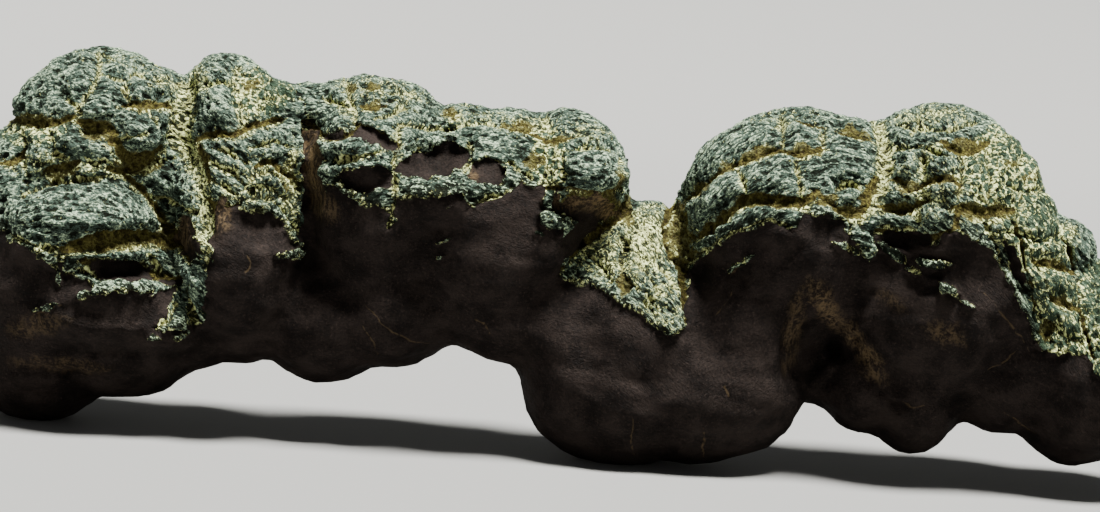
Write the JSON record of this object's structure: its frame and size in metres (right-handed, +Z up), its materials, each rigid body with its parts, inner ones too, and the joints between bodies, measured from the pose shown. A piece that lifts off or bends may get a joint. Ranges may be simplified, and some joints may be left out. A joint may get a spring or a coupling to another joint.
{
  "type": "coprolite",
  "caption": "Large coprolite: one solid, folded and waisted fossil dropping with a cracked, platy skin, lying on its underside.",
  "frame": {"origin": "middle of the piece's box, on the surface it lies on", "axes": "+X along the piece from its broad folded end to its tapering end, +Y from its front to its back, +Z up"},
  "size_m": [0.5614, 0.12, 0.1703],
  "materials": {
    "stone_skin": "matt phosphatic stone: grey-green wrinkled plates with cream and ochre filling in the cracks between them"
  },
  "bodies": {
    "root": {"coprolite": "stone_skin"}
  },
  "joints": []
}
